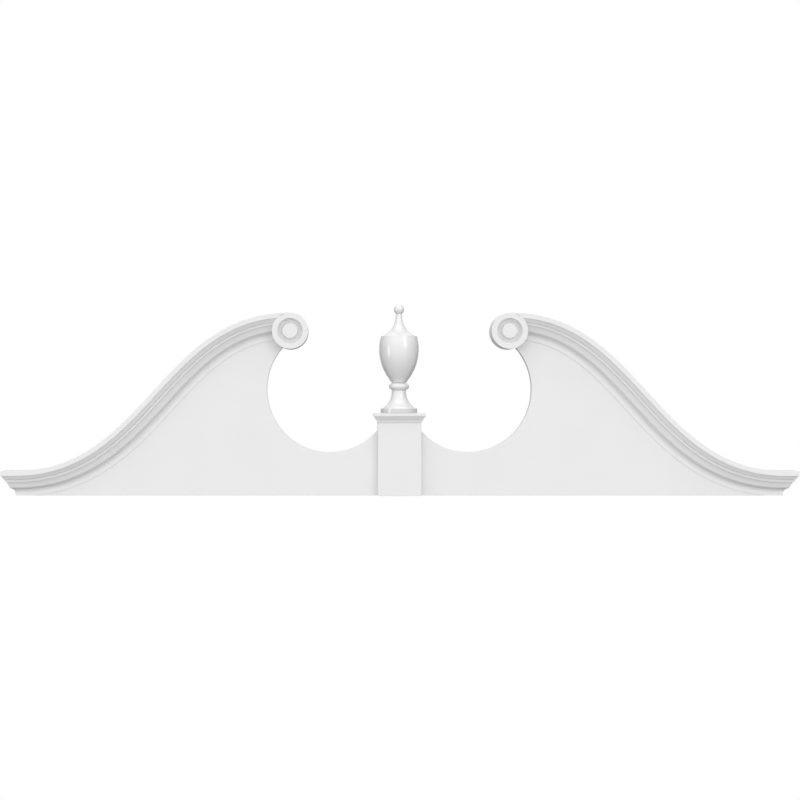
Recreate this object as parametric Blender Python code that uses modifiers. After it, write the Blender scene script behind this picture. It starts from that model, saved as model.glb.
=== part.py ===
# Rams head pediment: a door head in white moulded board, with two swan-neck crowns that end in
# rosettes, two round scoops in the board between them, and a half-round urn on a plinth.
# Metres, +Z up. The wall is the plane y = 0, the front looks along -Y, and x = 0 is the middle.
# Pieces are modelled from the bottom edge of the board up, and an empty lowers them all so that
# the origin lies on the board's flat back, where the pediment is fixed.
import math

import bmesh
import bpy
from mathutils import Matrix

# Whole pediment
overall_width = 2.032
total_depth = 0.0508
board_thickness = 0.01905
mount_height = 0.055          # the fixing point's height on the back of the board
joint_gap = 0.0003            # between pieces that touch

# Swan necks: the top edge is level at the outer end, then one S-curve up to the rosette
end_height = 0.0643
level_run = 0.005             # straight edge between the mitre and the S-curve
neck_pull = 0.330             # length of the S-curve's two level handles
neck_steps = 36
crown_tip = 0.009             # the fascia stops this far before the rosette's centre line

# Crown moulding: setbacks are measured back from the fascia, drops down from the top edge
crown_height = 0.066
fascia_height = 0.0126
soffit_depth = 0.0024
ovolo_depth = 0.0052
ovolo_height = 0.0092
ovolo_first_lean = 0.45       # radians from the vertical, at the top and foot of the ovolo
ovolo_last_lean = 0.60
ovolo_steps = 2
quirk_depth = 0.0014          # the small groove between the ovolo and the band
quirk_height = 0.0014
band_step = 0.0006
band_height = 0.0050
band_cove = 0.0014            # how far the band's hollow recedes
band_steps = 2
bed_soffit = 0.0026
bed_height = 0.0165           # the bed's shallow hollow, down to the edge above its cove
bed_depth = 0.0069
bed_curve = 0.0006            # how much the hollow lies behind a straight line
bed_steps = 3
cove_lean = 1.15              # radians from the vertical, at the top of the cove
cove_top_pull = 0.0043
cove_foot_pull = 0.0058
cove_steps = 6
upright_foot = 0.0070
bed_lip = 0.0013              # how far the foot of the moulding stands proud of the board

# Rosettes
rosette_spacing = 0.5588
rosette_height = 0.4212       # centre above the bottom edge
rosette_radius = 0.0462
button_radius = 0.0190
groove_width = 0.0130
groove_depth = 0.0125
groove_steps = 7
rosette_sides = 48

# Scoops: each circle bites into the rosette's ear, and ends against the plinth
scoop_offset = 0.1783         # centre from the middle of the board
scoop_height = 0.2728         # centre above the bottom edge
ear_bite = 0.0284             # how deep the circle cuts into the ear
scoop_steps = 40
ear_steps = 22

# Plinth and cap
plinth_width = 0.1111
tongue_proud = 0.0002         # the board's tongue is this much wider than the plinth, each side
plinth_rise = 0.0198          # plinth top above the point where the scoops meet it
cap_overhang = 0.0106
cap_fascia = 0.0069
cap_bevel = 0.0111
cap_bead = 0.0064
cap_bevel_foot = 0.0030       # overhang left at the foot of the bevel
cap_bead_step = 0.0008
cap_bead_foot = 0.0005        # overhang at the foot of the bead
foot_margin = 0.0006          # cap left in front of the urn's foot

# Urn, half round, its flat back on the wall. Radii, and heights above the cap
foot_radius = 0.0473
foot_height = 0.0117
flare_radius = 0.0405
neck_radius = 0.0186
collar_radius = 0.0262
collar_bead = 0.0085          # half the height of the round collar
collar_height = 0.0684
bowl_foot_radius = 0.0178
bowl_radius = 0.0512
bowl_height = 0.1700          # height of the widest place
rim_radius = 0.0469
rim_height = 0.1977
lid_radius = 0.0420
stem_radius = 0.0079
ball_radius = 0.0131
ball_height = 0.2673
lid_pull = 0.0436             # the lid's curve leaves the stem straight down for about this far
lid_lip = (0.0031, 0.0043)    # and meets the rim along this slope: inwards and up
bowl_top_pull = 0.0100
rim_lip = (0.0013, 0.0060)    # slope of the bowl's side at the rim: outwards and down
bowl_side_pull = 0.0190
bowl_foot_lip = (0.0328, 0.0394)
flare_pull = 0.0313
flare_lip = (0.0034, 0.0078)
joint_step = 0.0006           # between the bowl's foot and the collar
neck_step = 0.0031            # between the collar and the neck
collar_turn = 1.36            # radians either side of the collar's middle
urn_steps = 20                # round the half turn
ball_steps = 7
lid_steps = 9
bowl_top_steps = 4
bowl_steps = 10
collar_steps = 6
flare_steps = 8

board_white = (0.76, 0.76, 0.76, 1.0)
urn_white = (0.74, 0.74, 0.74, 1.0)

# Sizes that follow from the ones above
half_width = overall_width / 2
crown_depth = total_depth - board_thickness
board_half = half_width - crown_depth
rosette_x = rosette_spacing / 2
neck_top = rosette_height + rosette_radius
neck_start = board_half - level_run
tongue_half = plinth_width / 2 + tongue_proud
cap_height = cap_fascia + cap_bevel + cap_bead
cap_depth = foot_radius + foot_margin
plinth_depth = cap_depth - cap_overhang
scoop_to_rosette = (rosette_x - scoop_offset, rosette_height - scoop_height)
scoop_radius = math.hypot(*scoop_to_rosette) - rosette_radius + ear_bite
# where the tongue lies out of the circle's reach, the scoop ends level with its centre
scoop_foot_angle = math.acos(min((scoop_offset - tongue_half) / scoop_radius, 1)) - math.pi
plinth_top = scoop_height + scoop_radius * math.sin(scoop_foot_angle) + plinth_rise


def clear_scene():
    for item in list(bpy.data.objects):
        bpy.data.objects.remove(item, do_unlink=True)


def new_collection(name):
    group = bpy.data.collections.new(name)
    bpy.context.scene.collection.children.link(group)
    return group


def new_material(name, colour, roughness):
    paint = bpy.data.materials.new(name)
    paint.use_nodes = True
    shader = paint.node_tree.nodes["Principled BSDF"]
    shader.inputs["Base Color"].default_value = colour
    shader.inputs["Roughness"].default_value = roughness
    shader.inputs["Metallic"].default_value = 0.0
    return paint


def add_object(name, mesh, group, colour=None, roughness=0.5):
    thing = bpy.data.objects.new(name, mesh)
    group.objects.link(thing)
    if colour:
        mesh.materials.append(new_material(name + "_paint", colour, roughness))
        thing.parent = base_line
    return thing


def mesh_from_bmesh(name, shape):
    """Turns a bmesh into a mesh with its faces pointing out."""
    bmesh.ops.recalc_face_normals(shape, faces=shape.faces)
    mesh = bpy.data.meshes.new(name)
    shape.to_mesh(mesh)
    shape.free()
    return mesh


def bezier(start, pull_out, pull_in, end, steps):
    """Points of a cubic curve, without its first point."""
    points = []
    for step in range(1, steps + 1):
        points.append(bezier_point(start, pull_out, pull_in, end, step / steps))
    return points


def bezier_point(start, pull_out, pull_in, end, t):
    weights = ((1 - t) ** 3, 3 * t * (1 - t) ** 2, 3 * t * t * (1 - t), t ** 3)
    corners = (start, pull_out, pull_in, end)
    return tuple(sum(w * c[axis] for w, c in zip(weights, corners)) for axis in (0, 1))


def arc(centre, radius, first, last, steps):
    """Points of a circle's arc between two angles, both ends included."""
    points = []
    for step in range(steps + 1):
        angle = first + (last - first) * step / steps
        points.append((centre[0] + radius * math.cos(angle), centre[1] + radius * math.sin(angle)))
    return points


def neck_point(t):
    """A point (x, z) of the right-hand S-curve, from its level start (t = 0) to the rosette (t = 1)."""
    start = (neck_start, end_height)
    end = (rosette_x, neck_top)
    return bezier_point(start, (start[0] - neck_pull, start[1]), (end[0] + neck_pull, end[1]), end, t)


def neck_normal(t):
    """The upward normal of the S-curve, from two points close to each other."""
    nudge = 0.001
    before = neck_point(max(t - nudge, 0))
    after = neck_point(min(t + nudge, 1))
    run, rise = before[0] - after[0], after[1] - before[1]
    length = math.hypot(run, rise)
    return rise / length, run / length


def crown_profile():
    """The moulding's section as (setback, drop), from the top of the fascia down, then up its back."""
    ovolo_top = fascia_height
    ovolo_foot = ovolo_top + ovolo_height
    ovolo_back = soffit_depth + ovolo_depth
    band_front = ovolo_back + band_step
    band_top = ovolo_foot + quirk_height
    bed_front = band_front + band_cove + bed_soffit
    bed_top = band_top + band_height
    cove_top = (bed_front + bed_depth, bed_top + bed_height)
    cove_foot = (crown_depth - bed_lip, crown_height - upright_foot)
    back = crown_depth - joint_gap
    points = [(0, 0), (0, ovolo_top)]
    # the ovolo is part of a circle, stretched to its depth and height
    full_across = math.cos(ovolo_first_lean) - math.cos(ovolo_last_lean)
    full_down = math.sin(ovolo_last_lean) - math.sin(ovolo_first_lean)
    for step in range(ovolo_steps + 1):
        lean = ovolo_first_lean + (ovolo_last_lean - ovolo_first_lean) * step / ovolo_steps
        across = (math.cos(ovolo_first_lean) - math.cos(lean)) / full_across
        down = (math.sin(lean) - math.sin(ovolo_first_lean)) / full_down
        points.append((soffit_depth + ovolo_depth * across, ovolo_top + ovolo_height * down))
    points.append((ovolo_back + quirk_depth, ovolo_foot + quirk_height / 2))
    for step in range(band_steps + 1):
        down = step / band_steps
        points.append((band_front + band_cove * (1 - (1 - down) ** 2), band_top + band_height * down))
    for step in range(bed_steps + 1):
        down = step / bed_steps
        points.append((bed_front + bed_depth * down + bed_curve * 4 * down * (1 - down),
                       bed_top + bed_height * down))
    points += bezier(
        cove_top,
        (cove_top[0] + cove_top_pull * math.sin(cove_lean),
         cove_top[1] + cove_top_pull * math.cos(cove_lean)),
        (cove_foot[0], cove_foot[1] - cove_foot_pull),
        cove_foot, cove_steps)
    points += [(cove_foot[0], crown_height), (back, crown_height), (back, 0)]
    return points


def loft(name, rings):
    """Joins rings of as many points each into one closed body with a flat face at each end."""
    shape = bmesh.new()
    loops = [[shape.verts.new(point) for point in ring] for ring in rings]
    for near, far in zip(loops, loops[1:]):
        for index in range(len(near)):
            after = (index + 1) % len(near)
            shape.faces.new((near[index], near[after], far[after], far[index]))
    shape.faces.new(loops[0])
    shape.faces.new(loops[-1])
    return mesh_from_bmesh(name, shape)


def crown_mesh(name, side):
    """Carries the section from the wall round the mitre and up the S-curve, on one side."""
    section = crown_profile()
    rings = [[(side * (half_width - back), 0, end_height - drop) for back, drop in section],
             [(side * (half_width - back), back - total_depth, end_height - drop)
              for back, drop in section]]
    last = 1 - crown_tip / (3 * neck_pull)
    for step in range(neck_steps + 1):
        t = min(step / neck_steps, last)
        x, z = neck_point(t)
        lean, up = neck_normal(t)
        rings.append([(side * (x - lean * drop), back - total_depth, z - up * drop)
                      for back, drop in section])
    return loft(name, rings)


def cut(thing, cutter):
    tool = thing.modifiers.new("cut_" + cutter.name, "BOOLEAN")
    tool.operation = "DIFFERENCE"
    tool.solver = "EXACT"
    tool.object = cutter


def add_cutter(name, shape, place):
    cutter = add_object(name, mesh_from_bmesh(name, shape), cutters)
    cutter.parent = base_line
    cutter.matrix_local = place
    cutter.hide_render = True
    cutter.display_type = "WIRE"
    return cutter


def add_crowns():
    ground = bmesh.new()
    bmesh.ops.create_cube(ground, size=1)
    depth = crown_height
    below = Matrix.Translation((0, 0, -depth / 2)) @ Matrix.Diagonal((overall_width * 1.1, 1, depth, 1))
    bottom_cutter = add_cutter("below_bottom_edge", ground, below)
    for name, side in (("crown_right", 1), ("crown_left", -1)):
        crown = add_object(name, crown_mesh(name, side), parts, board_white, 0.45)
        disc = bmesh.new()
        bmesh.ops.create_cone(disc, cap_ends=True, segments=rosette_sides, depth=total_depth * 2,
                              radius1=rosette_radius + joint_gap, radius2=rosette_radius + joint_gap)
        place = (Matrix.Translation((side * rosette_x, -total_depth, rosette_height))
                 @ Matrix.Rotation(math.pi / 2, 4, "X"))
        cut(crown, add_cutter("room_for_rosette_" + name, disc, place))
        cut(crown, bottom_cutter)


def scoop_arc():
    """The right-hand scoop's arc, from the ear round the bottom to the tongue, and the ear's last angle."""
    distance = math.hypot(*scoop_to_rosette)
    heading = math.atan2(scoop_to_rosette[1], scoop_to_rosette[0])
    swing = math.acos((scoop_radius ** 2 + distance ** 2 - rosette_radius ** 2)
                      / (2 * scoop_radius * distance))
    ear_swing = math.acos((rosette_radius ** 2 + distance ** 2 - scoop_radius ** 2)
                          / (2 * rosette_radius * distance))
    centre = (scoop_offset, scoop_height)
    points = arc(centre, scoop_radius, heading - swing, scoop_foot_angle, scoop_steps)
    return points, heading + math.pi + ear_swing


def board_outline():
    """The right half of the board's outline as (x, z), from the bottom edge round to the tongue."""
    points = [(board_half, 0), (board_half, end_height)]
    points += [neck_point(step / neck_steps) for step in range(neck_steps + 1)]
    scoop, ear_last = scoop_arc()
    # the ear goes over the rosette's inner side and underneath, to the start of the scoop
    ear = arc((rosette_x, rosette_height), rosette_radius, math.pi / 2, ear_last, ear_steps)
    points += ear[1:-1]
    points += scoop
    points.append((tongue_half, plinth_top - joint_gap))
    return points


def filled_outline(name, points, thickness):
    """A flat 2D curve through the points, made a mesh whose thickness lies along its own Z."""
    curve = bpy.data.curves.new(name, "CURVE")
    curve.dimensions = "2D"
    curve.fill_mode = "BOTH"
    curve.extrude = thickness / 2
    line = curve.splines.new("POLY")
    line.points.add(len(points) - 1)
    for knot, (x, y) in zip(line.points, points):
        knot.co = (x, y, 0, 1)
    line.use_cyclic_u = True
    guide = bpy.data.objects.new(name + "_curve", curve)
    parts.objects.link(guide)
    bpy.context.view_layer.update()
    mesh = bpy.data.meshes.new_from_object(guide.evaluated_get(bpy.context.evaluated_depsgraph_get()))
    bpy.data.objects.remove(guide, do_unlink=True)
    shape = bmesh.new()
    shape.from_mesh(mesh)
    bmesh.ops.remove_doubles(shape, verts=shape.verts, dist=1e-6)
    return mesh_from_bmesh(name, shape)


def add_board():
    right = board_outline()
    left = [(-x, z) for x, z in reversed(right)]
    board = add_object("panel", filled_outline("panel", right + left, board_thickness), parts,
                       board_white, 0.5)
    board.rotation_euler = (math.pi / 2, 0, 0)
    board.location = (0, -board_thickness / 2, 0)


def turned(name, profile, steps, turn, colour=None, roughness=0.5):
    """Turns a profile (radius, height), listed from the top down, about the Z axis."""
    mesh = bpy.data.meshes.new(name)
    verts = [(radius, 0, height) for radius, height in profile]
    mesh.from_pydata(verts, [(i, i + 1) for i in range(len(verts) - 1)], [])
    thing = add_object(name, mesh, parts, colour, roughness)
    screw = thing.modifiers.new("turn", "SCREW")
    screw.angle = turn
    screw.steps = steps
    screw.render_steps = steps
    screw.use_merge_vertices = True
    screw.merge_threshold = 0.00001
    return thing


def add_rosettes():
    thickness = crown_depth - joint_gap
    profile = [(0, thickness)]
    middle = button_radius + groove_width / 2
    for step in range(groove_steps + 1):
        angle = math.pi + math.pi * step / groove_steps
        profile.append((middle + groove_width / 2 * math.cos(angle),
                        thickness + groove_depth * math.sin(angle)))
    profile += [(rosette_radius, thickness), (rosette_radius, 0), (0, 0)]
    for name, side in (("rosette_right", 1), ("rosette_left", -1)):
        rosette = turned(name, profile, rosette_sides, 2 * math.pi, board_white, 0.45)
        rosette.rotation_euler = (math.pi / 2, 0, 0)
        rosette.location = (side * rosette_x, -board_thickness - joint_gap, rosette_height)


def add_plinth():
    block = bmesh.new()
    bmesh.ops.create_cube(block, size=1)
    front = -plinth_depth
    back = -board_thickness - joint_gap
    size = Matrix.Diagonal((plinth_width, back - front, plinth_top - joint_gap, 1))
    bmesh.ops.transform(block, matrix=size, verts=block.verts)
    plinth = add_object("plinth_block", mesh_from_bmesh("plinth_block", block), parts, board_white, 0.45)
    plinth.location = (0, (front + back) / 2, (plinth_top - joint_gap) / 2)


def add_cap():
    """A mitred cap: a fascia over a bevel over a low bead, on the front and both sides."""
    levels = [(cap_height, cap_overhang),
              (cap_height - cap_fascia, cap_overhang),
              (cap_bead, cap_bevel_foot),
              (cap_bead, cap_bevel_foot - cap_bead_step),
              (0, cap_bead_foot)]
    rings = []
    for height, overhang in levels:
        half = plinth_width / 2 + overhang
        front = -plinth_depth - overhang
        rings.append([(-half, 0, height), (-half, front, height), (half, front, height), (half, 0, height)])
    cap = add_object("plinth_cap", loft("plinth_cap", rings), parts, board_white, 0.45)
    cap.location = (0, 0, plinth_top)


def urn_profile():
    """The urn's turned profile (radius, height), from the top of the ball down to the foot."""
    last_turn = math.pi - math.asin(stem_radius / ball_radius)
    points = [(ball_radius * math.sin(last_turn * step / ball_steps),
               ball_height + ball_radius * math.cos(last_turn * step / ball_steps))
              for step in range(ball_steps + 1)]
    # the lid: from the stem, a hollow cone that sweeps out to the rim
    stem = points[-1]
    rim = (rim_radius, rim_height)
    points += bezier(stem, (stem_radius, stem[1] - lid_pull),
                     (lid_radius - lid_lip[0], rim_height + lid_lip[1]),
                     (lid_radius, rim_height), lid_steps)
    points.append(rim)
    # the bowl: bulges a little below the rim, then draws in to its foot
    widest = (bowl_radius, bowl_height)
    points += bezier(rim, (rim_radius + rim_lip[0], rim_height - rim_lip[1]),
                     (bowl_radius, bowl_height + bowl_top_pull), widest, bowl_top_steps)
    bowl_foot = (bowl_foot_radius, collar_height + collar_bead + joint_step)
    points += bezier(widest, (bowl_radius, bowl_height - bowl_side_pull),
                     (bowl_foot[0] + bowl_foot_lip[0], bowl_foot[1] + bowl_foot_lip[1]),
                     bowl_foot, bowl_steps)
    # the collar: a half-round bead, then the neck and the flare of the foot
    points += arc((collar_radius - collar_bead, collar_height), collar_bead,
                  collar_turn, -collar_turn, collar_steps)
    neck = (neck_radius, collar_height - collar_bead - neck_step)
    points.append(neck)
    points += bezier(neck, (neck_radius, neck[1] - flare_pull),
                     (flare_radius - flare_lip[0], foot_height + flare_lip[1]),
                     (flare_radius, foot_height), flare_steps)
    points += [(foot_radius, foot_height), (foot_radius, 0), (0, 0)]
    return points


def add_urn():
    """Half a turn of the profile, closed by one flat face on the wall side."""
    guide = turned("urn_turning", urn_profile(), urn_steps, math.pi)
    bpy.context.view_layer.update()
    mesh = bpy.data.meshes.new_from_object(guide.evaluated_get(bpy.context.evaluated_depsgraph_get()))
    bpy.data.objects.remove(guide, do_unlink=True)
    shape = bmesh.new()
    shape.from_mesh(mesh)
    bmesh.ops.remove_doubles(shape, verts=shape.verts, dist=1e-6)
    rim = [edge for edge in shape.edges if edge.is_boundary]
    bmesh.ops.contextual_create(shape, geom=rim)
    urn = add_object("urn_finial", mesh_from_bmesh("urn_finial", shape), parts, urn_white, 0.25)
    urn.rotation_euler = (0, 0, math.pi)
    urn.location = (0, 0, plinth_top + cap_height + joint_gap)


def shade_round_pieces(angle):
    for thing in parts.objects:
        if thing.name.startswith(("crown", "rosette", "urn")):
            thing.data.shade_smooth()
            thing.data.set_sharp_from_angle(angle=angle)


clear_scene()
parts = new_collection("rams_head_pediment")
cutters = new_collection("cutters")
base_line = bpy.data.objects.new("bottom_edge", None)
base_line.location = (0, 0, -mount_height)
parts.objects.link(base_line)

add_board()
add_crowns()
add_rosettes()
add_plinth()
add_cap()
add_urn()
shade_round_pieces(math.radians(35))
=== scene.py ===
# Looks of the rams head pediment: white painted mouldings, a scooped board and a glossy half urn.
# The wall is the plane y = 0, the front looks along -Y, +Z is up, everything is in metres.
import math

import bmesh
import bpy
import numpy as np
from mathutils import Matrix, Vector


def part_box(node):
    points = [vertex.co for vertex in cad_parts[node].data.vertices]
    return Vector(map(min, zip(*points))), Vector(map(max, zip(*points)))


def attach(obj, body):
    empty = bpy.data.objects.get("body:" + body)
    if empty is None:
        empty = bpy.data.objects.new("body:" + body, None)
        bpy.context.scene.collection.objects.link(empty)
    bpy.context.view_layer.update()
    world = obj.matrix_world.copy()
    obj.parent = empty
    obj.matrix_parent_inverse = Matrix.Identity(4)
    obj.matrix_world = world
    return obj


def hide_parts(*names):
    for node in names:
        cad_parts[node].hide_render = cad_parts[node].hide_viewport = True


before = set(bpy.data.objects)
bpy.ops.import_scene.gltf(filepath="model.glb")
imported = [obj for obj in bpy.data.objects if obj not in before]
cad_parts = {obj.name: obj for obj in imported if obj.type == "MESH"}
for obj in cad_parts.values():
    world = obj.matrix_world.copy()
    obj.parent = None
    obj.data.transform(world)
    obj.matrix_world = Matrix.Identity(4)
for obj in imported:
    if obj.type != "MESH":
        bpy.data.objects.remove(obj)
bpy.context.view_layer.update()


# Where things are, all read from the frame

panelLow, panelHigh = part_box("panel")
crownLow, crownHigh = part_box("crown_right")
rosetteLow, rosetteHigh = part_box("rosette_right")
plinthLow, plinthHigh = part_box("plinth_block")
capLow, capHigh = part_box("plinth_cap")
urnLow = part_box("urn_finial")[0]

bottomEdge = panelLow.z
boardFront = panelLow.y
crownFront = crownLow.y
crownHalf = crownHigh.x
boardHalf = panelHigh.x
rosetteX = (rosetteLow.x + rosetteHigh.x) / 2
rosetteZ = (rosetteLow.z + rosetteHigh.z) / 2
rosetteRadius = (rosetteHigh.z - rosetteLow.z) / 2
seam = boardFront - plinthHigh.y              # hairline between pieces that touch


# Mesh helpers

form = {
    "arrisSteps": 4,          # faces across a softened corner
    "cornerShare": 0.4,       # a softened corner takes at most this share of the shorter leg
    "guard": 1.2,             # the extra points beside a softened corner, in radii from the corner
    "slabGuard": 1.3,         # the extra rings beside a slab's arris, in arris radii from the edge
    "mitreFloor": 0.3,        # keeps the mitre at a very sharp corner short
    "tinyLength": 1e-9,       # stands in for the length of a leg that has none
    "weldDistance": 2e-6,
    "sliverLength": 1e-6,
    "smoothAngle": 40,        # in degrees: edges that turn more stay sharp
}


def softCorners(points, corner, radius, steps=form["arrisSteps"]):
    # Every flagged corner C turns into the parabola (1-t)^2 A + 2t(1-t) C + t^2 B, where A and B lie one
    # radius before and after it. One more point outside A and B keeps the flats next to it flat.
    before = np.roll(points, 1, axis=-2) - points
    after = np.roll(points, -1, axis=-2) - points
    lengthBefore = np.maximum(np.linalg.norm(before, axis=-1, keepdims=True), form["tinyLength"])
    lengthAfter = np.maximum(np.linalg.norm(after, axis=-1, keepdims=True), form["tinyLength"])
    flag = np.asarray(corner, bool)
    longest = form["cornerShare"] * np.minimum(lengthBefore, lengthAfter)
    reach = np.minimum(radius, longest) * flag[:, None]
    a = (before / lengthBefore * reach)[..., None, :]
    b = (after / lengthAfter * reach)[..., None, :]
    t = np.linspace(0, 1, steps + 1)[:, None]
    curve = points[..., None, :] + (1 - t) ** 2 * a + t ** 2 * b
    start = points[..., None, :] + form["guard"] * a
    end = points[..., None, :] + form["guard"] * b
    curve = np.concatenate([start, curve, end], axis=-2)
    keep = np.repeat(flag[:, None], steps + 3, axis=1)
    keep[:, 0] |= ~flag
    return curve[..., keep, :]


def bezier(corners, t):
    # A cubic curve: the four corners weighted by (1-t)^3, 3t(1-t)^2, 3t^2(1-t) and t^3.
    t = np.asarray(t)[..., None]
    p = np.asarray(corners, float)
    return (1 - t) ** 3 * p[0] + 3 * t * (1 - t) ** 2 * p[1] + 3 * t ** 2 * (1 - t) * p[2] + t ** 3 * p[3]


def bezierSlope(corners, t):
    # The cubic's derivative: its three legs weighted by 3(1-t)^2, 6t(1-t) and 3t^2.
    t = np.asarray(t)[..., None]
    leg = np.diff(np.asarray(corners, float), axis=0)
    return 3 * (1 - t) ** 2 * leg[0] + 6 * t * (1 - t) * leg[1] + 3 * t ** 2 * leg[2]


def arc(centre, radius, first, last, steps):
    # Centre + radius (cos a, sin a), with a from first to last.
    angle = np.linspace(first, last, steps + 1)
    return np.stack([centre[0] + radius * np.cos(angle), centre[1] + radius * np.sin(angle)], axis=-1)


def loftRings(name, rings, firstEnd, lastEnd, grain=None):
    # rings[i, j] is point j of closed ring i, and four neighbours make a face. An end is left to close
    # by itself at a pole (None), filled with one face, or with strips that join point j to its opposite.
    count, size = rings.shape[:2]
    row = np.arange(count - 1)[:, None] * size
    col = np.arange(size)[None, :]
    nextCol = (col + 1) % size
    faces = np.stack([row + col, row + nextCol, row + size + nextCol, row + size + col], axis=-1)
    faces = faces.reshape(-1, 4).tolist()
    for base, end in ((0, firstEnd), ((count - 1) * size, lastEnd)):
        if end == "face":
            faces.append((base + np.arange(size)).tolist())
        if end == "strips":
            j = np.arange(size // 2 - 1)
            faces += (base + np.stack([j, j + 1, size - 2 - j, size - 1 - j], axis=-1)).tolist()
    mesh = bpy.data.meshes.new(name)
    mesh.from_pydata(rings.reshape(-1, 3).tolist(), [], faces)
    if grain is not None:
        layer = mesh.attributes.new("grain", "FLOAT_VECTOR", "POINT")
        layer.data.foreach_set("vector", grain.astype(np.float32).ravel())
    shape = bmesh.new()
    shape.from_mesh(mesh)
    bmesh.ops.remove_doubles(shape, verts=shape.verts, dist=form["weldDistance"])
    bmesh.ops.dissolve_degenerate(shape, edges=shape.edges, dist=form["sliverLength"])
    bmesh.ops.recalc_face_normals(shape, faces=shape.faces)
    shape.to_mesh(mesh)
    shape.free()
    mesh.shade_smooth()
    mesh.set_sharp_from_angle(angle=math.radians(form["smoothAngle"]))
    return mesh


def addPiece(name, mesh, node, material):
    piece = bpy.data.objects.new(name, mesh)
    bpy.context.scene.collection.objects.link(piece)
    mesh.materials.append(material)
    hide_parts(node)
    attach(piece, "root")


def edgedSlab(name, outline, back, front, arris, steps=form["arrisSteps"]):
    # A flat piece from its outline (x, z): rings follow the outline, set in by r(1 - sin a) while the
    # depth turns by r(1 - cos a) round both arrises. The set-in goes along the mitre of the two outward
    # normals, (n1 + n2) / (1 + n1 . n2). One more ring beside each arris keeps the flats flat.
    edge = np.roll(outline, -1, axis=0) - outline
    edge /= np.linalg.norm(edge, axis=1, keepdims=True)
    area = np.sum(outline[:, 0] * np.roll(outline[:, 1], -1) - np.roll(outline[:, 0], -1) * outline[:, 1])
    normal = np.sign(area) * np.stack([edge[:, 1], -edge[:, 0]], axis=1)
    previous = np.roll(normal, 1, axis=0)
    spread = np.maximum(1 + np.sum(normal * previous, axis=1, keepdims=True), form["mitreFloor"])
    mitre = (normal + previous) / spread
    guard = form["slabGuard"]
    a = np.linspace(0, math.pi / 2, steps + 1)
    setIn = arris * np.concatenate([[guard], 1 - np.sin(a), [0, 0], 1 - np.sin(a[::-1]), [guard]])
    turn = arris * np.concatenate([[0], 1 - np.cos(a), [guard]])
    depth = np.concatenate([back - turn, front + turn[::-1]])
    flat = outline[None] - setIn[:, None, None] * mitre[None]
    rings = np.stack([flat[..., 0], np.broadcast_to(depth[:, None], flat.shape[:2]), flat[..., 1]], axis=-1)
    return loftRings(name, rings, "face", "face")


# Paint

paint = {
    "boardWhite": (0.760, 0.760, 0.760, 1),
    "mouldingWhite": (0.760, 0.760, 0.760, 1),
    "urnWhite": (0.740, 0.740, 0.740, 1),
    "boardRoughness": 0.50,
    "mouldingRoughness": 0.42,
    "urnRoughness": 0.45,
    "bend": 1.47,             # index of refraction of the paint
    "urnCoatRoughness": 0.05,
    "urnCoatBend": 1.85,      # index of refraction of the clear film over the urn's paint
    "mottle": 0.018,          # how much darker the thinnest paint is
    "mottleScale": 7.0,       # noise cells a metre
    "mottleDetail": 4.0,
    "mottleRoughness": 0.55,
    "mottleRange": (0.35, 0.70),  # the noise goes from full paint to thin paint between these
    "glossSwing": 0.05,       # how far the roughness wanders
    "urnGlossSwing": 0.02,
    "glossScale": 23.0,
    "glossDetail": 3.0,
    "glossRange": (0.3, 0.7),
    "stippleSize": 0.0011,    # spacing of the roller's or spray gun's dimples
    "stippleDetail": 1.5,
    "stippleHeight": 0.00003,
    "drawLineScale": (4, 1500, 1),    # noise cells a metre along the moulding and round its profile
    "drawLineDetail": 2.0,
    "drawLineHeight": 0.00002,
    "footPaintedShade": 0.80,        # painted shade on the urn's foot: its colour is this bright
    "footFade": 0.0010,       # height over which the painted shade gives way to the full white
}

sawnEdge = {
    "facing": (0.75, 0.35),   # the normal's share across the board where the mask is 0 and where it is 1
    "darkening": 0.01,        # sawn edges drink more paint
    "roughening": 0.15,
    "cellScale": (900, 240, 900),     # foam cells a metre
    "cellDetail": 2.0,
    "cellHeight": 2.0,        # in heights of the stipple
}


def newGroup(name, inputs, outputs):
    group = bpy.data.node_groups.new(name, "ShaderNodeTree")
    for label, kind, value in inputs:
        socket = group.interface.new_socket(label, in_out="INPUT", socket_type=kind)
        if value is not None:
            socket.default_value = value
    for label, kind in outputs:
        group.interface.new_socket(label, in_out="OUTPUT", socket_type=kind)
    nodes = group.nodes
    return group, nodes.new("NodeGroupInput"), nodes.new("NodeGroupOutput")


def mapRange(nodes, links, value, low, high, outLow, outHigh, smooth=False):
    node = nodes.new("ShaderNodeMapRange")
    node.interpolation_type = "SMOOTHSTEP" if smooth else "LINEAR"
    links.new(value, node.inputs["Value"])
    node.inputs["From Min"].default_value = low
    node.inputs["From Max"].default_value = high
    node.inputs["To Min"].default_value = outLow
    node.inputs["To Max"].default_value = outHigh
    return node.outputs["Result"]


def noise(nodes, links, vector, scale, detail, roughness=0.5):
    node = nodes.new("ShaderNodeTexNoise")
    links.new(vector, node.inputs["Vector"])
    node.inputs["Scale"].default_value = scale
    node.inputs["Detail"].default_value = detail
    node.inputs["Roughness"].default_value = roughness
    return node.outputs["Fac"]


def calculate(nodes, links, operation, first, second):
    node = nodes.new("ShaderNodeMath")
    node.operation = operation
    for socket, value in zip(node.inputs, (first, second)):
        if isinstance(value, (int, float)):
            socket.default_value = value
        else:
            links.new(value, socket)
    return node.outputs["Value"]


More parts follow.
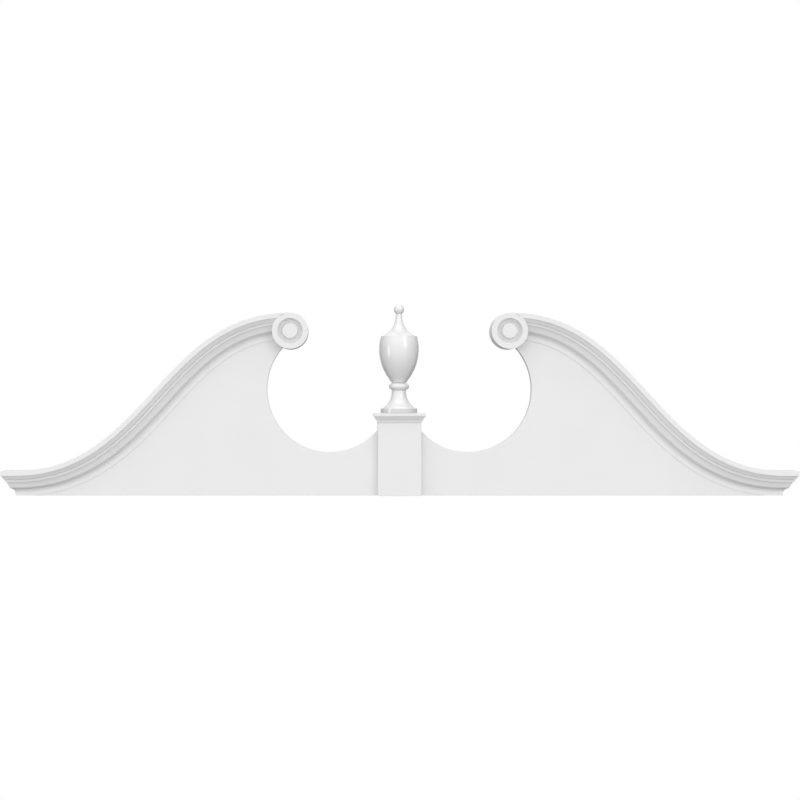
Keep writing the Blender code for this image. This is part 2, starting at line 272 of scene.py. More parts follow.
def paintFilmGroup():
    # Tone = 1 - mottle * slow noise; Gloss Change = noise about 0; Height = fine dimples of the film.
    group, source, target = newGroup(
        "paintFilm",
        [("Vector", "NodeSocketVector", None), ("Mottle", "NodeSocketFloat", paint["mottle"]),
         ("Dimple Size", "NodeSocketFloat", paint["stippleSize"])],
        [("Tone", "NodeSocketFloat"), ("Gloss Change", "NodeSocketFloat"), ("Height", "NodeSocketFloat")])
    nodes, links = group.nodes, group.links
    vector = source.outputs["Vector"]
    slow = noise(nodes, links, vector, paint["mottleScale"], paint["mottleDetail"], paint["mottleRoughness"])
    patch = mapRange(nodes, links, slow, *paint["mottleRange"], 0.0, 1.0)
    drop = calculate(nodes, links, "MULTIPLY", patch, source.outputs["Mottle"])
    links.new(calculate(nodes, links, "SUBTRACT", 1.0, drop), target.inputs["Tone"])
    sheen = noise(nodes, links, vector, paint["glossScale"], paint["glossDetail"])
    change = mapRange(nodes, links, sheen, *paint["glossRange"], -1.0, 1.0)
    links.new(change, target.inputs["Gloss Change"])
    fine = nodes.new("ShaderNodeTexNoise")
    links.new(vector, fine.inputs["Vector"])
    links.new(calculate(nodes, links, "DIVIDE", 1.0, source.outputs["Dimple Size"]), fine.inputs["Scale"])
    fine.inputs["Detail"].default_value = paint["stippleDetail"]
    links.new(fine.outputs["Fac"], target.inputs["Height"])
    return group


def cutEdgeGroup():
    # Mask of the sawn edges: 1 where the surface's normal lies in the board's plane, 0 on its faces.
    # Cells = the sheet's foam cells, stretched through the thickness.
    group, source, target = newGroup(
        "cutEdge", [("Vector", "NodeSocketVector", None)],
        [("Mask", "NodeSocketFloat"), ("Cells", "NodeSocketFloat")])
    nodes, links = group.nodes, group.links
    geometry = nodes.new("ShaderNodeNewGeometry")
    split = nodes.new("ShaderNodeSeparateXYZ")
    links.new(geometry.outputs["Normal"], split.inputs["Vector"])
    facing = calculate(nodes, links, "ABSOLUTE", split.outputs["Y"], 0.0)
    mask = mapRange(nodes, links, facing, *sawnEdge["facing"], 0.0, 1.0)
    links.new(mask, target.inputs["Mask"])
    stretch = nodes.new("ShaderNodeMapping")
    links.new(source.outputs["Vector"], stretch.inputs["Vector"])
    stretch.inputs["Scale"].default_value = sawnEdge["cellScale"]
    cells = noise(nodes, links, stretch.outputs["Vector"], 1.0, sawnEdge["cellDetail"])
    links.new(cells, target.inputs["Cells"])
    return group


def newMaterial(name, colour, roughness):
    material = bpy.data.materials.new(name)
    material.use_nodes = True
    shader = material.node_tree.nodes["Principled BSDF"]
    shader.inputs["Base Color"].default_value = colour
    shader.inputs["Roughness"].default_value = roughness
    shader.inputs["IOR"].default_value = paint["bend"]
    return material, material.node_tree.nodes, material.node_tree.links, shader


def useGroup(nodes, group):
    node = nodes.new("ShaderNodeGroup")
    node.node_tree = group
    return node


def tinted(nodes, links, colour, tone):
    # The paint's colour times a grey tone.
    mix = nodes.new("ShaderNodeMix")
    mix.data_type = "RGBA"
    mix.blend_type = "MULTIPLY"
    mix.inputs["Factor"].default_value = 1.0
    mix.inputs["A"].default_value = colour
    links.new(tone, mix.inputs["B"])
    return mix.outputs["Result"]


def bump(nodes, links, shader, height, distance):
    node = nodes.new("ShaderNodeBump")
    node.inputs["Distance"].default_value = distance
    links.new(height, node.inputs["Height"])
    links.new(node.outputs["Normal"], shader.inputs["Normal"])


def paintedMaterial(name, colour, roughness, film, sawn=None, drawLines=False,
                    glossSwing=paint["glossSwing"], paintedShadeTop=None):
    # Colour = the paint's colour * tone, where tone = the film's tone - darkening * sawn mask, times the
    # painted shade. Roughness = its own + swing * gloss change + roughening * sawn mask. Height = the film's
    # dimples + the foam cells on sawn edges + the draw lines, all in heights of the stipple.
    material, nodes, links, shader = newMaterial(name, colour, roughness)
    place = nodes.new("ShaderNodeTexCoord").outputs["Object"]
    coat = useGroup(nodes, film)
    links.new(place, coat.inputs["Vector"])
    coat.inputs["Mottle"].default_value = paint["mottle"]
    coat.inputs["Dimple Size"].default_value = paint["stippleSize"]
    tone = coat.outputs["Tone"]
    swing = calculate(nodes, links, "MULTIPLY", coat.outputs["Gloss Change"], glossSwing)
    rough = calculate(nodes, links, "ADD", swing, roughness)
    height = coat.outputs["Height"]
    if sawn:
        edge = useGroup(nodes, sawn)
        links.new(place, edge.inputs["Vector"])
        mask = edge.outputs["Mask"]
        darker = calculate(nodes, links, "MULTIPLY", mask, sawnEdge["darkening"])
        tone = calculate(nodes, links, "SUBTRACT", tone, darker)
        rougher = calculate(nodes, links, "MULTIPLY", mask, sawnEdge["roughening"])
        rough = calculate(nodes, links, "ADD", rough, rougher)
        cells = calculate(nodes, links, "MULTIPLY", edge.outputs["Cells"], mask)
        relief = calculate(nodes, links, "MULTIPLY", cells, sawnEdge["cellHeight"])
        height = calculate(nodes, links, "ADD", height, relief)
    if drawLines:
        # faint lines that the die leaves along the moulding's length
        grain = nodes.new("ShaderNodeAttribute")
        grain.attribute_name = "grain"
        stretch = nodes.new("ShaderNodeMapping")
        links.new(grain.outputs["Vector"], stretch.inputs["Vector"])
        stretch.inputs["Scale"].default_value = paint["drawLineScale"]
        lines = noise(nodes, links, stretch.outputs["Vector"], 1.0, paint["drawLineDetail"])
        share = paint["drawLineHeight"] / paint["stippleHeight"]
        height = calculate(nodes, links, "ADD", height, calculate(nodes, links, "MULTIPLY", lines, share))
    if paintedShadeTop is not None:
        # painted shade: the colour darkens from the given height down
        split = nodes.new("ShaderNodeSeparateXYZ")
        links.new(place, split.inputs["Vector"])
        shade = mapRange(nodes, links, split.outputs["Z"], paintedShadeTop - paint["footFade"], paintedShadeTop,
                         paint["footPaintedShade"], 1.0)
        tone = calculate(nodes, links, "MULTIPLY", tone, shade)
    links.new(tinted(nodes, links, colour, tone), shader.inputs["Base Color"])
    links.new(rough, shader.inputs["Roughness"])
    bump(nodes, links, shader, height, paint["stippleHeight"])
    return material


print("mixing the paint")
film = paintFilmGroup()
sawn = cutEdgeGroup()
boardPaint = paintedMaterial("boardPaint", paint["boardWhite"], paint["boardRoughness"], film, sawn=sawn)
blockPaint = paintedMaterial("blockPaint", paint["mouldingWhite"], paint["mouldingRoughness"], film,
                             sawn=sawn)
mouldingPaint = paintedMaterial("mouldingPaint", paint["mouldingWhite"], paint["mouldingRoughness"], film,
                                drawLines=True)
turnedPaint = paintedMaterial("turnedPaint", paint["mouldingWhite"], paint["mouldingRoughness"], film)


# Swan necks: the top edge is level at the outer end, then one S-curve up to the rosette

neck = {
    "endHeight": 0.0643,      # above the bottom edge
    "levelRun": 0.005,        # straight between the mitre and the S-curve
    "handle": 0.330,          # length of the S-curve's two level handles
    "steps": 150,
    "searchSteps": 3000,      # steps of the search for where a line meets the rosette
}
neckStart = np.array([boardHalf - neck["levelRun"], bottomEdge + neck["endHeight"]])
neckEnd = np.array([rosetteX, rosetteZ + rosetteRadius])
neckCorners = np.array([neckStart, neckStart - [neck["handle"], 0], neckEnd + [neck["handle"], 0], neckEnd])


# Crown mouldings: setbacks are measured back from the fascia, drops down from the top edge

crown = {
    "height": 0.066,
    "fasciaHeight": 0.0126,
    "soffitDepth": 0.0024,
    "ovoloDepth": 0.0052,
    "ovoloHeight": 0.0092,
    "ovoloLeans": (0.45, 0.60),   # radians from the vertical, at its top and foot
    "quirkDepth": 0.0024,         # the small groove between the ovolo and the band
    "quirkHeight": 0.0014,
    "bandStep": 0.0006,
    "bandHeight": 0.0050,
    "bandCove": 0.0014,
    "bedSoffit": 0.0026,
    "bedHeight": 0.0165,          # the bed's shallow hollow, down to the edge above its cove
    "bedDepth": 0.0069,
    "bedCurve": 0.0006,
    "bedRound": (3, 4),           # steps of bed and cove that the rounded edge between them takes
    "bedRoundSteps": 8,
    "coveLean": 1.32,             # radians from straight down, at its top
    "coveTopPull": 0.0105,        # lengths of the cove's two handles
    "coveFootPull": 0.0046,
    "uprightFoot": 0.0070,
    "bedLip": 0.0013,             # the foot stands this far proud of the board
    "topRun": 0.0040,             # the top surface's own point lies this far behind the fascia
    "undersideRun": 0.0001,       # and the underside's lies this far in front of the back
    "arris": 0.0006,              # softness of every corner
    "mitreArris": 0.0005,
    "ovoloSteps": 12,
    "bandSteps": 6,
    "bedSteps": 12,
    "coveSteps": 20,
}


def crownSection():
    # The moulding's face as rows (setback, drop), from the top surface down to the foot's underside. The
    # ovolo is part of a circle, stretched to its depth and height; the band recedes by 1 - (1 - u)^2; the
    # bed recedes by u, bulged back by 4u(1 - u); its cove is a cubic curve. Their shared corner C is rounded
    # to (1-t)^2 A + 2t(1-t) C + t^2 B, where A and B lie some steps before and after it.
    depth = boardFront - crownFront
    first, last = crown["ovoloLeans"]
    lean = np.linspace(first, last, crown["ovoloSteps"] + 1)
    across = (math.cos(first) - np.cos(lean)) / (math.cos(first) - math.cos(last))
    down = (np.sin(lean) - math.sin(first)) / (math.sin(last) - math.sin(first))
    ovolo = np.stack([crown["soffitDepth"] + crown["ovoloDepth"] * across,
                      crown["fasciaHeight"] + crown["ovoloHeight"] * down], axis=-1)
    quirk = ovolo[-1] + [crown["quirkDepth"], crown["quirkHeight"] / 2]
    u = np.linspace(0, 1, crown["bandSteps"] + 1)
    band = ovolo[-1] + [crown["bandStep"], crown["quirkHeight"]] + np.stack(
        [crown["bandCove"] * (1 - (1 - u) ** 2), crown["bandHeight"] * u], axis=-1)
    u = np.linspace(0, 1, crown["bedSteps"] + 1)
    bed = band[-1] + [crown["bedSoffit"], 0] + np.stack(
        [crown["bedDepth"] * u + crown["bedCurve"] * 4 * u * (1 - u), crown["bedHeight"] * u], axis=-1)
    coveFoot = np.array([depth - crown["bedLip"], crown["height"] - crown["uprightFoot"]])
    pull = crown["coveTopPull"] * np.array([math.sin(crown["coveLean"]), math.cos(crown["coveLean"])])
    cove = bezier([bed[-1], bed[-1] + pull, coveFoot - [0, crown["coveFootPull"]], coveFoot],
                  np.linspace(0, 1, crown["coveSteps"] + 1))
    bedTaken, coveTaken = crown["bedRound"]
    t = np.linspace(0, 1, crown["bedRoundSteps"] + 1)[1:-1, None]
    edge = (1 - t) ** 2 * bed[-1 - bedTaken] + 2 * t * (1 - t) * bed[-1] + t ** 2 * cove[coveTaken]
    foot = np.array([[coveFoot[0], crown["height"]],
                     [depth - seam - crown["undersideRun"], crown["height"]]])
    fascia = [[crown["topRun"], 0], [0, 0], [0, crown["fasciaHeight"]]]
    points = np.vstack([fascia, ovolo, [quirk], band, bed[:-bedTaken], edge, cove[coveTaken:], foot])
    corner = np.zeros(len(points), bool)
    corner[[1, 2, 3]] = True                          # top arris, fascia's foot, ovolo's top
    ovoloEnd = 3 + crown["ovoloSteps"]
    bandEnd = ovoloEnd + 2 + crown["bandSteps"]
    corner[[ovoloEnd, ovoloEnd + 1, ovoloEnd + 2, bandEnd, bandEnd + 1, -2]] = True
    return softCorners(points, corner, crown["arris"])


def crownMesh(name, side):
    # Streamline j keeps its setback and drop: from the wall it runs to the mitre, turns there, and follows
    # the S-curve, P(t) - drop * N(t), until it meets the rosette's round side.
    section = crownSection()
    setback = section[:, 0]
    drop = section[:, 1]
    back = np.full_like(setback, boardFront - crownFront - seam)
    fine = np.linspace(0, 1, neck["searchSteps"] + 1)
    slope = bezierSlope(neckCorners, fine)
    slope /= np.linalg.norm(slope, axis=-1, keepdims=True)
    normal = np.stack([slope[:, 1], -slope[:, 0]], axis=-1)
    lines = bezier(neckCorners, fine)[:, None] - normal[:, None] * drop[None, :, None]
    clear = np.linalg.norm(lines - [rosetteX, rosetteZ], axis=-1) - rosetteRadius - seam
    hit = np.argmax(clear < 0, axis=0)
    j = np.arange(len(drop))
    lastT = fine[hit - 1] + fine[1] * clear[hit - 1, j] / (clear[hit - 1, j] - clear[hit, j])

    t = np.linspace(0, 1, neck["steps"] + 1)[:, None] * lastT
    slope = bezierSlope(neckCorners, t)
    slope /= np.linalg.norm(slope, axis=-1, keepdims=True)
    swept = bezier(neckCorners, t) - np.stack([slope[..., 1], -slope[..., 0]], axis=-1) * drop[:, None]

    sheets = []
    for depth in (setback, back):
        plan = np.stack([np.stack([crownHalf - depth, 0 * depth], -1),
                         np.stack([crownHalf - depth, crownFront + depth], -1),
                         np.stack([neckStart[0] + 0 * depth, crownFront + depth], -1)], axis=-2)
        plan = softCorners(plan, [False, True, False], crown["mitreArris"])[:, :-1]
        level = np.stack([plan[..., 0], plan[..., 1],
                          np.broadcast_to((neckStart[1] - drop)[:, None], plan.shape[:2])], -1)
        run = np.stack([swept[..., 0], np.broadcast_to(crownFront + depth, swept.shape[:2]),
                        swept[..., 1]], axis=-1)
        sheets.append(np.concatenate([level.transpose(1, 0, 2), run]))
    rings = np.concatenate([sheets[0], sheets[1][:, ::-1]], axis=1)
    rings[..., 2] = np.maximum(rings[..., 2], bottomEdge)      # cut level with the board's bottom edge

    # where the draw lines run: metres along the moulding, and metres round its profile
    step = np.linalg.norm(np.diff(rings[:, 0], axis=0), axis=-1)
    along = np.concatenate([[0], np.cumsum(step)])
    reach = np.linalg.norm(np.diff(section, axis=0), axis=-1)
    around = np.concatenate([[0], np.cumsum(reach)])
    around = np.concatenate([around, around[::-1] + 1])        # the back reads other draw lines
    grain = np.stack(np.broadcast_arrays(along[:, None], around[None], 0.0 * along[:, None]), axis=-1)
    rings[..., 0] *= side
    return loftRings(name, rings, "strips", "strips", grain)


# Board: the crown's S-curve above, a round ear under each rosette, a round scoop down to the plinth

board = {
    "scoopOffset": 0.1783,    # from the middle
    "scoopHeight": 0.2728,    # above the bottom edge
    "earBite": 0.0284,        # how deep the scoop cuts into the ear
    "tongueProud": 0.0002,    # the tongue is this much wider than the plinth, each side
    "arris": 0.0007,
    "cornerReach": 0.0014,    # softness of the outline's own corners, over twice the arris
    "scoopSteps": 130,
    "earSteps": 50,
}


def boardOutline():
    # Right half: bottom corner, end, S-curve, ear (a circle about the rosette), scoop (a circle), tongue.
    # Where two circles cross, the law of cosines gives each one's angle at the crossing.
    scoop = np.array([board["scoopOffset"], bottomEdge + board["scoopHeight"]])
    ear = np.array([rosetteX, rosetteZ])
    dx, dz = ear - scoop
    distance = math.hypot(dx, dz)
    radius = distance - rosetteRadius + board["earBite"]
    heading = math.atan2(dz, dx)
    swing = math.acos((radius ** 2 + distance ** 2 - rosetteRadius ** 2) / (2 * radius * distance))
    earSwing = math.acos((rosetteRadius ** 2 + distance ** 2 - radius ** 2)
                         / (2 * rosetteRadius * distance))
    tongue = plinthHigh.x + board["tongueProud"]
    footAngle = math.acos((scoop[0] - tongue) / radius) - math.pi
    neckLine = bezier(neckCorners, np.linspace(0, 1, neck["steps"] + 1))
    earLine = arc(ear, rosetteRadius, math.pi / 2, heading + math.pi + earSwing, board["earSteps"])
    scoopLine = arc(scoop, radius, heading - swing, footAngle, board["scoopSteps"])
    right = np.vstack([[[boardHalf, bottomEdge], [boardHalf, neckStart[1]]], neckLine, earLine[1:-1],
                       scoopLine, [[tongue, capLow.z - seam]]])
    corner = np.zeros(len(right), bool)
    scoopStart = len(neckLine) + len(earLine)
    corner[[0, 1, scoopStart, -2, -1]] = True         # the end's two, the ear's tip, the tongue's two
    outline = np.vstack([right, right[::-1] * [-1, 1]])
    return softCorners(outline, np.concatenate([corner, corner[::-1]]), board["cornerReach"])


# Rosettes: a turned disc with a round groove and a button

rosette = {
    "buttonRadius": 0.0190,
    "grooveWidth": 0.0130,
    "grooveDepth": 0.0125,
    "arris": 0.0007,
    "arrisSteps": 5,
    "grooveSteps": 22,
    "sides": 144,
}


def turnedRings(profile, angles):
    # Point (radius, height) of the profile at every angle: (radius cos a, radius sin a, height).
    r = profile[:, None, 0]
    return np.stack(np.broadcast_arrays(r * np.cos(angles), r * np.sin(angles), profile[:, None, 1]), -1)


def rosetteMesh(name, side):
    # The groove is half an ellipse, as wide and as deep as the dictionary says.
    thickness = rosetteHigh.y - rosetteLow.y
    outer = rosette["buttonRadius"] + rosette["grooveWidth"]
    middle = rosette["buttonRadius"] + rosette["grooveWidth"] / 2
    a = np.linspace(math.pi, 2 * math.pi, rosette["grooveSteps"] + 1)
    groove = np.stack([middle + rosette["grooveWidth"] / 2 * np.cos(a),
                       thickness + rosette["grooveDepth"] * np.sin(a)], axis=-1)
    points = np.vstack([[[0, thickness]], groove, [[rosetteRadius, thickness], [rosetteRadius, 0], [0, 0]]])
    corner = np.zeros(len(points), bool)
    corner[[1, len(groove), len(groove) + 1, len(groove) + 2]] = True
    profile = softCorners(points, corner, rosette["arris"], rosette["arrisSteps"])
    turned = turnedRings(profile, np.linspace(0, 2 * math.pi, rosette["sides"], endpoint=False))
    place = np.stack([side * rosetteX + turned[..., 0], rosetteHigh.y - turned[..., 2],
                      rosetteZ + turned[..., 1]], axis=-1)
    return loftRings(name, place, None, None)


# Plinth block and its mitred cap

plinth = {
    "arris": 0.0008,
    "cornerReach": 0.0016,
    "capFascia": 0.0069,
    "capBead": 0.0064,
    "bevelFoot": 0.0030,      # overhang left at the foot of the bevel
    "beadStep": 0.0008,
    "beadFoot": 0.0005,
    "capArris": 0.0006,
    "capTopRun": 0.0040,      # the top's and the underside's own points lie this far in from the edge
    "capUndersideRun": 0.0030,
}


def blockMesh(name):
    half = plinthHigh.x
    points = np.array([[half, bottomEdge], [half, plinthHigh.z], [-half, plinthHigh.z], [-half, bottomEdge]])
    outline = softCorners(points, [True] * 4, plinth["cornerReach"])
    return edgedSlab(name, outline, plinthHigh.y, plinthLow.y, plinth["arris"])


def capMesh(name):
    # Each row of the profile (overhang, height) makes a ring: wall, left side, front, right side, wall.
    rise = capHigh.z - capLow.z
    reach = capHigh.x - plinthHigh.x
    profile = np.array([[reach - plinth["capTopRun"], rise], [reach, rise],
                        [reach, rise - plinth["capFascia"]],
                        [plinth["bevelFoot"], plinth["capBead"]],
                        [plinth["bevelFoot"] - plinth["beadStep"], plinth["capBead"]],
                        [plinth["beadFoot"], 0],
                        [plinth["beadFoot"] - plinth["capUndersideRun"], 0]])
    profile = softCorners(profile, [False] + [True] * 5 + [False], plinth["capArris"])
    half = plinthHigh.x + profile[:, 0]
    front = capLow.y + reach - profile[:, 0]
    plan = np.stack([np.stack([-half, 0 * half], -1), np.stack([-half, front], -1),
                     np.stack([half, front], -1), np.stack([half, 0 * half], -1)], axis=-2)
    plan = softCorners(plan, [False, True, True, False], plinth["capArris"])
    height = np.broadcast_to((capLow.z + profile[:, 1])[:, None], plan.shape[:2])
    return loftRings(name, np.concatenate([plan, height[..., None]], axis=-1), "face", "face")


# Urn: half round, its flat back on the wall. Radii, and heights above the cap. A pull is the length of a
# curve's upright handle, and a lip is a curve's slanting handle as (radius, height)

urn = {
    "footRadius": 0.0473,
    "footHeight": 0.0117,
    "flareRadius": 0.0405,    # where the flare meets the foot
    "neckRadius": 0.0186,
    "collarRadius": 0.0262,
    "collarBead": 0.0085,
    "collarHeight": 0.0684,
    "bowlFootRadius": 0.0178,
    "bowlRadius": 0.0512,
    "bowlHeight": 0.1700,
    "rimRadius": 0.0469,
    "rimHeight": 0.1977,
    "lidRadius": 0.0420,      # where the lid meets the rim
    "stemRadius": 0.0079,
    "ballRadius": 0.0131,
    "ballHeight": 0.2673,
    "lidPull": 0.0436,
    "lidLip": (-0.0031, 0.0043),
    "rimLip": (0.0013, -0.0060),
    "bowlTopPull": 0.0100,
    "bowlSidePull": 0.0190,
    "bowlFootLip": (0.0328, 0.0394),
    "flarePull": 0.0313,
    "flareLip": (-0.0034, 0.0078),
    "jointStep": 0.0006,      # the bowl ends this far above the collar's bead
    "neckStep": 0.0031,       # the neck starts this far below it
    "notchDepth": 0.0016,     # fine notches under the ball and either side of the collar
    "notchHeight": 0.0012,
    "collarTurns": (1.36, -1.10),     # radians from the collar's middle to its top and its foot
    "arris": 0.0007,
    "sides": 90,
    "steps": 40,
    "rimStride": 4,           # the bowl's short stretch under the rim takes one step in this many
}


def urnProfile():
    # (radius, height) from the top of the ball to the foot. Lid, bowl and flare are cubic curves, and the
    # ball and the collar are arcs. A notch is one point, half way down between the two forms that it parts
    # and further in than both.
    u = urn
    t = np.linspace(0, 1, u["steps"] + 1)
    stemAngle = math.asin(u["stemRadius"] / u["ballRadius"]) - math.pi / 2
    ball = arc((0, u["ballHeight"]), u["ballRadius"], math.pi / 2, stemAngle, u["steps"])
    stem = ball[-1] - [0, u["notchHeight"]]
    lidFoot = np.array([u["lidRadius"], u["rimHeight"]])
    lid = bezier([stem, stem - [0, u["lidPull"]], lidFoot + u["lidLip"], lidFoot], t)
    rim = np.array([u["rimRadius"], u["rimHeight"]])
    widest = np.array([u["bowlRadius"], u["bowlHeight"]])
    bowlFoot = np.array([u["bowlFootRadius"], u["collarHeight"] + u["collarBead"] + u["jointStep"]])
    upper = bezier([rim, rim + u["rimLip"], widest + [0, u["bowlTopPull"]], widest],
                   t[::u["rimStride"]])
    lower = bezier([widest, widest - [0, u["bowlSidePull"]], bowlFoot + u["bowlFootLip"], bowlFoot], t)
    collar = arc((u["collarRadius"] - u["collarBead"], u["collarHeight"]), u["collarBead"],
                 *u["collarTurns"], u["steps"] // 2)
    neckTop = np.array([u["neckRadius"], u["collarHeight"] - u["collarBead"] - u["neckStep"]])
    flareFoot = np.array([u["flareRadius"], u["footHeight"]])
    flare = bezier([neckTop, neckTop - [0, u["flarePull"]], flareFoot + u["flareLip"], flareFoot], t)
    foot = np.array([[u["footRadius"], u["footHeight"]], [u["footRadius"], 0], [0, 0]])
    notches = [np.array([[min(above[0], below[0]) - u["notchDepth"], (above[1] + below[1]) / 2]])
               for above, below in ((ball[-1], lid[0]), (lower[-1], collar[0]), (collar[-1], flare[0]))]
    top = np.vstack([ball, notches[0], lid])
    middle = np.vstack([upper, lower[1:], notches[1], collar, notches[2], flare])
    points = np.vstack([top, middle, foot])
    rimStart = len(top)
    footStart = len(top) + len(middle)
    corner = np.zeros(len(points), bool)
    corner[[rimStart - 1, rimStart, footStart - 1, footStart, footStart + 1]] = True
    return softCorners(points, corner, u["arris"])


def urnMesh(name):
    # Half a turn of the profile, from the right side through the front to the left side.
    rings = turnedRings(urnProfile(), np.linspace(0, -math.pi, urn["sides"] + 1))
    rings[..., 2] += urnLow.z
    rings[..., 1] = np.minimum(rings[..., 1], 0)
    return loftRings(name, rings, None, None)


def urnMaterial(film):
    # The urn's paint under a clear glossy film, with painted shade darkening its foot.
    material = paintedMaterial("urnGloss", paint["urnWhite"], paint["urnRoughness"], film,
                               glossSwing=paint["urnGlossSwing"], paintedShadeTop=urnLow.z + urn["footHeight"])
    shader = material.node_tree.nodes["Principled BSDF"]
    shader.inputs["Coat Weight"].default_value = 1.0
    shader.inputs["Coat Roughness"].default_value = paint["urnCoatRoughness"]
    shader.inputs["Coat IOR"].default_value = paint["urnCoatBend"]
    return material


print("cutting the board")
addPiece("scoopedBoard", edgedSlab("scoopedBoard", boardOutline(), 0.0, boardFront, board["arris"]),
         "panel", boardPaint)
print("running the crown mouldings")
for label, side in (("Right", 1), ("Left", -1)):
    node = label.lower()
    addPiece("swanNeck" + label, crownMesh("swanNeck" + label, side), "crown_" + node,
             mouldingPaint)
    addPiece("rosette" + label, rosetteMesh("rosette" + label, side), "rosette_" + node,
             turnedPaint)
print("setting the plinth and its cap")
addPiece("plinthBlock", blockMesh("plinthBlock"), "plinth_block", blockPaint)
addPiece("plinthCap", capMesh("plinthCap"), "plinth_cap", turnedPaint)
print("turning the urn")
addPiece("urnFinial", urnMesh("urnFinial"), "urn_finial", urnMaterial(film))


# Studio: a pale floor far below, white all round to the camera, and a dome of light that is brightest at
# the upper front, with soft-edged windows

studio = {
    "floorDrop": 1.30,            # below the fixing point
    "floorHalf": 8.0,
    "floorFade": (0.45, 1.15),    # the floor turns into the white surround between these radii
    "floorGrey": 0.90,
    "floorRoughness": 0.8,
    "domeAim": (-4, 44),          # azimuth and elevation of the dome's brightest point, in degrees
    "domeMiddle": 0.52,
    "domeSwing": 0.68,
    "windows": (                  # azimuths, elevations, width of the faded edge, added radiance
        (-64, 50, -12, 38, 5, 0.24),      # wide and low in front
        (-75, 75, 50, 110, 24, 0.68),     # overhead
        (-70, -15, 36, 62, 12, 0.23),     # upper left
        (26, 43, 3, 32, 4, 1.90),         # the urn's right and left highlights
        (-71, -59, -13, 5, 4, 2.20),
        (148, 200, -40, 60, 16, 0.55),    # one behind, in two halves that meet at 180 degrees
        (-200, -148, -40, 60, 16, 0.55),
    ),
    "lens": 50,
    "sensor": 36,
    "framePixels": 800,
    "pixelSize": 0.00254,         # at the crown's front
    "cameraColumn": 338,          # the vanishing point's column and row
    "cameraRow": 400,
    "middleColumn": 400,          # the object's middle and bottom edge
    "bottomRow": 496.5,
}


def direction(aim):
    # Towards azimuth a and elevation e: (sin a cos e, -cos a cos e, sin e).
    azimuth, elevation = (math.radians(angle) for angle in aim)
    return Vector((math.sin(azimuth) * math.cos(elevation), -math.cos(azimuth) * math.cos(elevation),
                   math.sin(elevation)))


def addFloor():
    # Diffuse pale grey under the object, fading with radius into the white surround. Only the camera sees
    # it: light passes through, so that it doesn't brighten the mouldings from below.
    half = studio["floorHalf"]
    mesh = bpy.data.meshes.new("floor")
    mesh.from_pydata([(-half, -half, 0), (half, -half, 0), (half, half, 0), (-half, half, 0)], [],
                     [(0, 1, 2, 3)])
    floor = bpy.data.objects.new("floor", mesh)
    floor.location = (0, 0, -studio["floorDrop"])
    bpy.context.scene.collection.objects.link(floor)
    colour = (studio["floorGrey"],) * 3 + (1,)
    material, nodes, links, shader = newMaterial("floorPaint", colour, studio["floorRoughness"])
    place = nodes.new("ShaderNodeTexCoord").outputs["Object"]
    length = nodes.new("ShaderNodeVectorMath")
    length.operation = "LENGTH"
    links.new(place, length.inputs[0])
    far = mapRange(nodes, links, length.outputs["Value"], *studio["floorFade"], 0.0, 1.0)
    seen = nodes.new("ShaderNodeLightPath").outputs["Is Camera Ray"]
    white = nodes.new("ShaderNodeEmission")
    fade = nodes.new("ShaderNodeMixShader")
    links.new(far, fade.inputs["Fac"])
    links.new(shader.outputs["BSDF"], fade.inputs[1])
    links.new(white.outputs["Emission"], fade.inputs[2])
    show = nodes.new("ShaderNodeMixShader")
    links.new(seen, show.inputs["Fac"])
    links.new(nodes.new("ShaderNodeBsdfTransparent").outputs["BSDF"], show.inputs[1])
    links.new(fade.outputs["Shader"], show.inputs[2])
    links.new(show.outputs["Shader"], nodes["Material Output"].inputs["Surface"])
    mesh.materials.append(material)


windowSockets = ("Azimuth Low", "Azimuth High", "Elevation Low", "Elevation High", "Edge")


def softWindowGroup():
    # Mask of a window of light on the sky: azimuth = atan2(x, -y) and elevation = asin(z), in degrees, each
    # rise from 0 to 1 over Edge at the low side and fall back at the high side; Mask = their product.
    group, source, target = newGroup(
        "softWindow",
        [("Vector", "NodeSocketVector", None)]
        + [(label, "NodeSocketFloat", None) for label in windowSockets],
        [("Mask", "NodeSocketFloat")])
    nodes, links = group.nodes, group.links
    split = nodes.new("ShaderNodeSeparateXYZ")
    links.new(source.outputs["Vector"], split.inputs["Vector"])
    towardsFront = calculate(nodes, links, "MULTIPLY", split.outputs["Y"], -1.0)
    azimuth = calculate(nodes, links, "ARCTAN2", split.outputs["X"], towardsFront)
    elevation = calculate(nodes, links, "ARCSINE", split.outputs["Z"], 0.0)
    mask = 1.0
    for label, angle in (("Azimuth", azimuth), ("Elevation", elevation)):
        angle = calculate(nodes, links, "MULTIPLY", angle, math.degrees(1))
        for side, low, high in (("Low", source.outputs[label + " Low"], angle),
                                ("High", angle, source.outputs[label + " High"])):
            inside = calculate(nodes, links, "SUBTRACT", high, low)
            share = calculate(nodes, links, "DIVIDE", inside, source.outputs["Edge"])
            ramp = mapRange(nodes, links, share, -0.5, 0.5, 0.0, 1.0, smooth=True)
            mask = calculate(nodes, links, "MULTIPLY", mask, ramp)
    links.new(mask, target.inputs["Mask"])
    return group


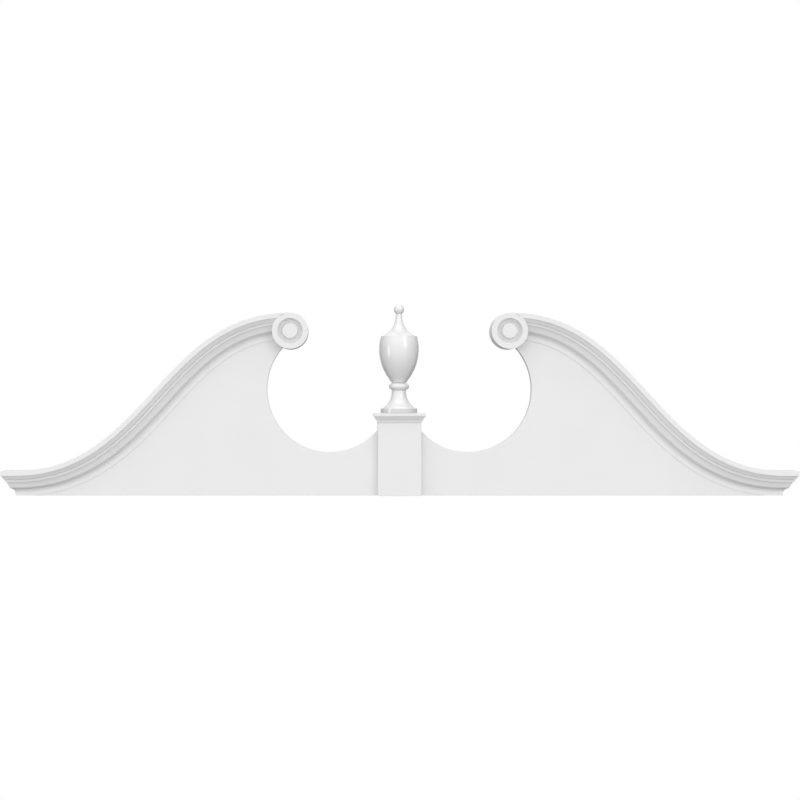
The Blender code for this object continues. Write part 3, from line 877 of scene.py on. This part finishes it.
def addWorld():
    # White to the camera. As light it is a dome, middle + swing * cos(angle from its brightest point), plus
    # soft-edged windows.
    world = bpy.data.worlds.new("studioWhite")
    bpy.context.scene.world = world
    world.use_nodes = True
    nodes, links = world.node_tree.nodes, world.node_tree.links
    soft = nodes["Background"]
    soft.inputs["Color"].default_value = (1, 1, 1, 1)
    place = nodes.new("ShaderNodeTexCoord").outputs["Generated"]
    towards = nodes.new("ShaderNodeVectorMath")
    towards.operation = "DOT_PRODUCT"
    links.new(place, towards.inputs[0])
    towards.inputs[1].default_value = direction(studio["domeAim"])
    swing = calculate(nodes, links, "MULTIPLY", towards.outputs["Value"], studio["domeSwing"])
    level = calculate(nodes, links, "ADD", swing, studio["domeMiddle"])
    level = calculate(nodes, links, "MAXIMUM", level, 0.0)
    windowGroup = softWindowGroup()
    for *extent, radiance in studio["windows"]:
        window = useGroup(nodes, windowGroup)
        links.new(place, window.inputs["Vector"])
        for label, value in zip(windowSockets, extent):
            window.inputs[label].default_value = value
        glow = calculate(nodes, links, "MULTIPLY", window.outputs["Mask"], radiance)
        level = calculate(nodes, links, "ADD", level, glow)
    links.new(level, soft.inputs["Strength"])
    white = nodes.new("ShaderNodeBackground")
    white.inputs["Color"].default_value = (1, 1, 1, 1)
    white.inputs["Strength"].default_value = 1.0
    mix = nodes.new("ShaderNodeMixShader")
    links.new(nodes.new("ShaderNodeLightPath").outputs["Is Camera Ray"], mix.inputs["Fac"])
    links.new(soft.outputs["Background"], mix.inputs[1])
    links.new(white.outputs["Background"], mix.inputs[2])
    links.new(mix.outputs["Shader"], nodes["World Output"].inputs["Surface"])


def addCamera():
    # One pixel at the crown's front is pixelSize wide, which gives the distance; the shift puts the
    # vanishing point at its column.
    pixels = studio["framePixels"]
    distance = pixels * studio["lens"] / studio["sensor"] * studio["pixelSize"]
    data = bpy.data.cameras.new("camera")
    data.lens = studio["lens"]
    data.sensor_width = studio["sensor"]
    data.shift_x = (pixels / 2 - studio["cameraColumn"]) / pixels
    camera = bpy.data.objects.new("camera", data)
    camera.location = ((studio["cameraColumn"] - studio["middleColumn"]) * studio["pixelSize"],
                       crownFront - distance,
                       bottomEdge + (studio["bottomRow"] - studio["cameraRow"]) * studio["pixelSize"])
    camera.rotation_euler = (math.pi / 2, 0, 0)
    bpy.context.scene.collection.objects.link(camera)
    bpy.context.scene.camera = camera


print("lighting the studio")
addFloor()
addWorld()
addCamera()
bpy.context.scene.view_settings.view_transform = "Standard"
